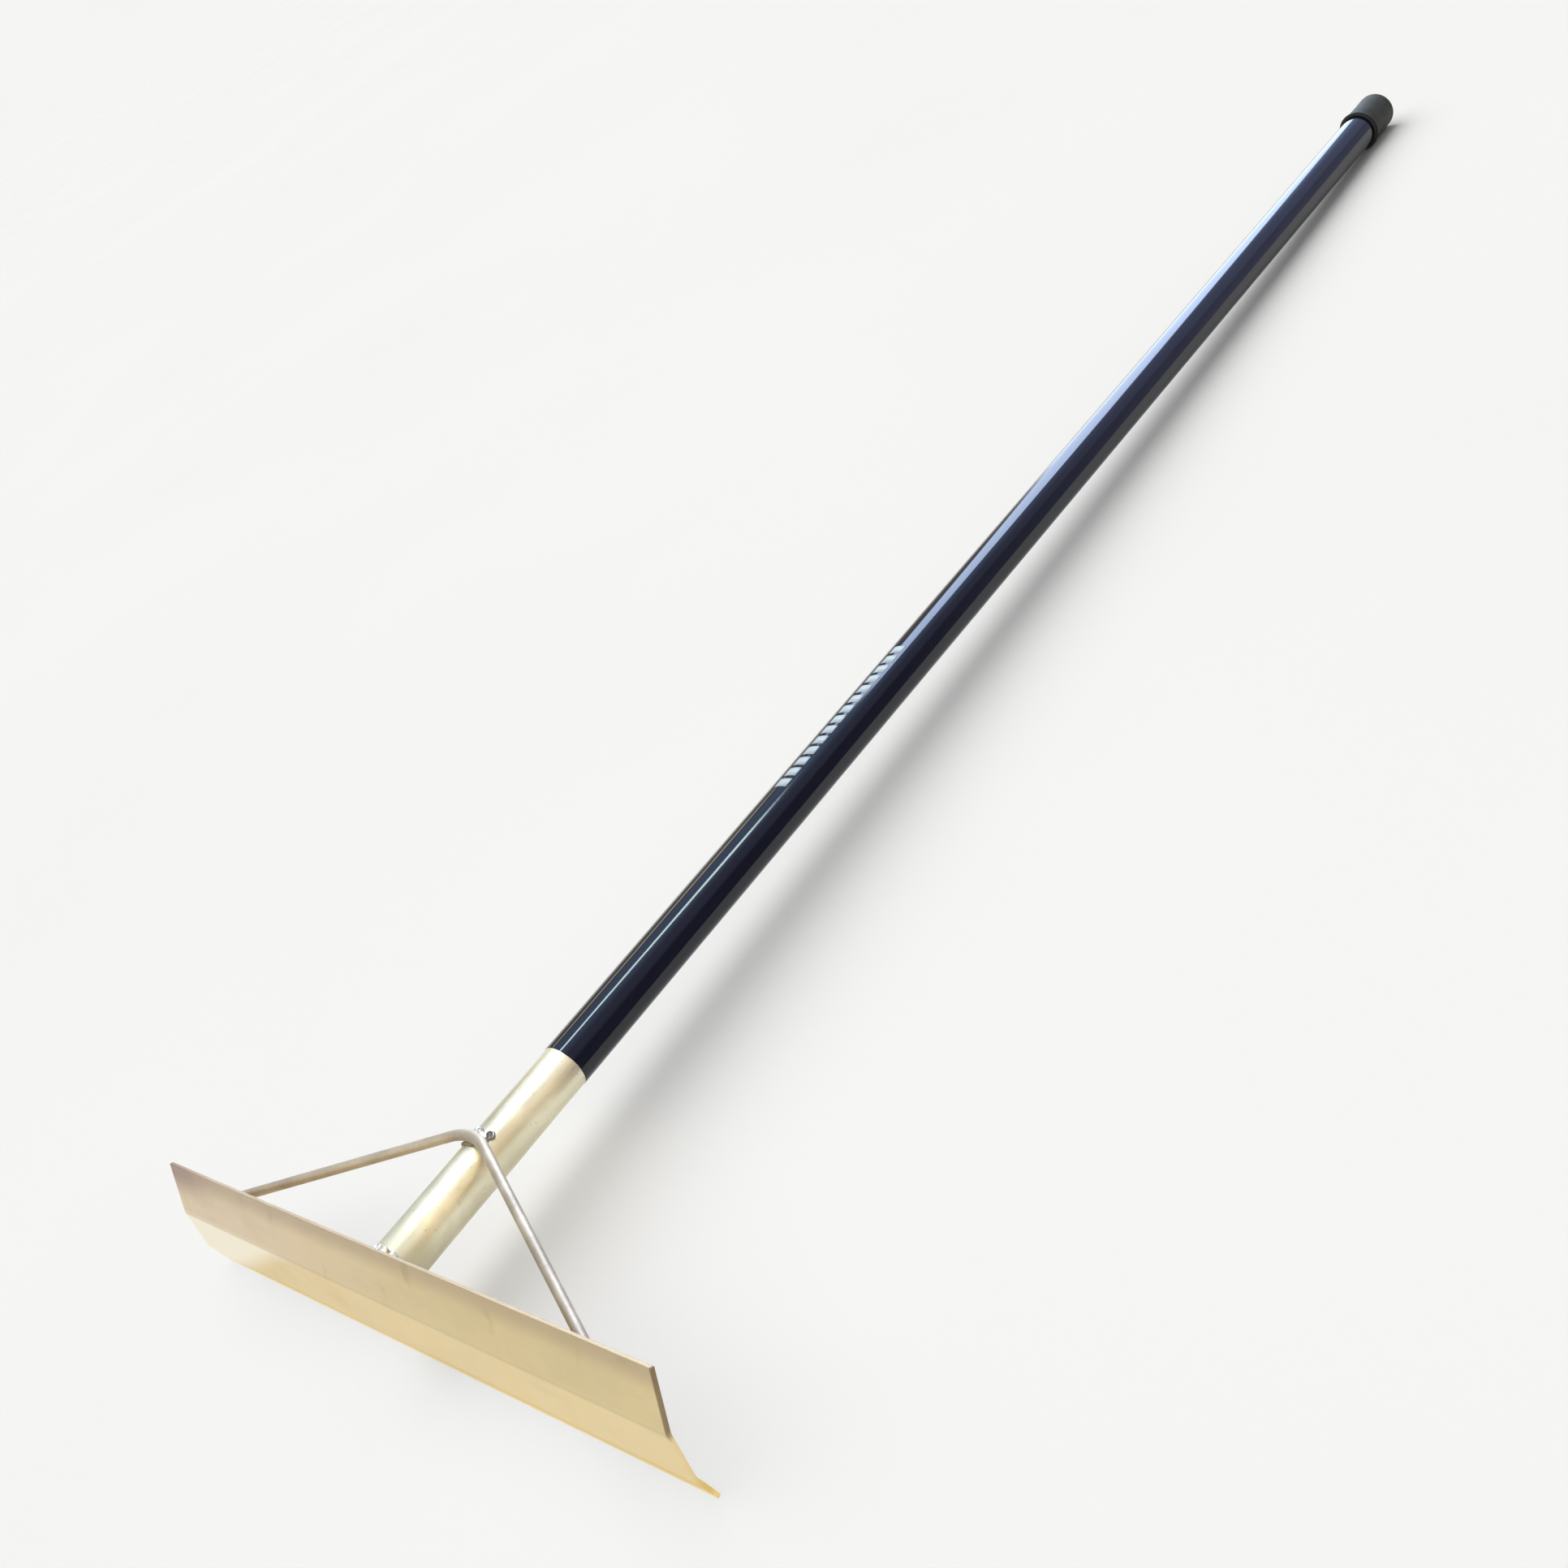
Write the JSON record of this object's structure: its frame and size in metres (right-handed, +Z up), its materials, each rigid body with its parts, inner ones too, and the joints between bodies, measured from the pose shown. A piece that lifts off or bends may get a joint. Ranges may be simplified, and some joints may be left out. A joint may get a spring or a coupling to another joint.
{
  "type": "concrete placer",
  "caption": "Hand concrete placer: wide folded metal blade welded to a long sleeved tube handle, with a V-bent round-bar brace and a push-on end cap.",
  "frame": {"origin": "on the floor, under the middle of the tool's bounding box as it lies at rest on the blade's lip and the end cap's rim", "axes": "+Y from the blade towards the end cap, +X along the blade's width, +Z up, with the brace on the upper side of the handle"},
  "size_m": [0.5, 1.49, 0.0845],
  "materials": {
    "blade_sheet": "satin mill finish, stained and scuffed",
    "tube_metal": "satin drawn tube",
    "brace_bar": "dull drawn bar",
    "weld_metal": "bright, lumpy weld",
    "navy_sleeve": "glossy navy vinyl, nearly black",
    "black_cap": "matte moulded vinyl"
  },
  "bodies": {
    "root": {"blade": "blade_sheet", "handle_tube": "tube_metal", "handle_sleeve": "navy_sleeve", "end_cap": "black_cap", "brace_rod": "brace_bar", "weld_tube_blade": "weld_metal", "weld_brace_upper": "weld_metal", "weld_brace_lower": "weld_metal", "weld_brace_left": "weld_metal", "weld_brace_right": "weld_metal"}
  },
  "joints": []
}
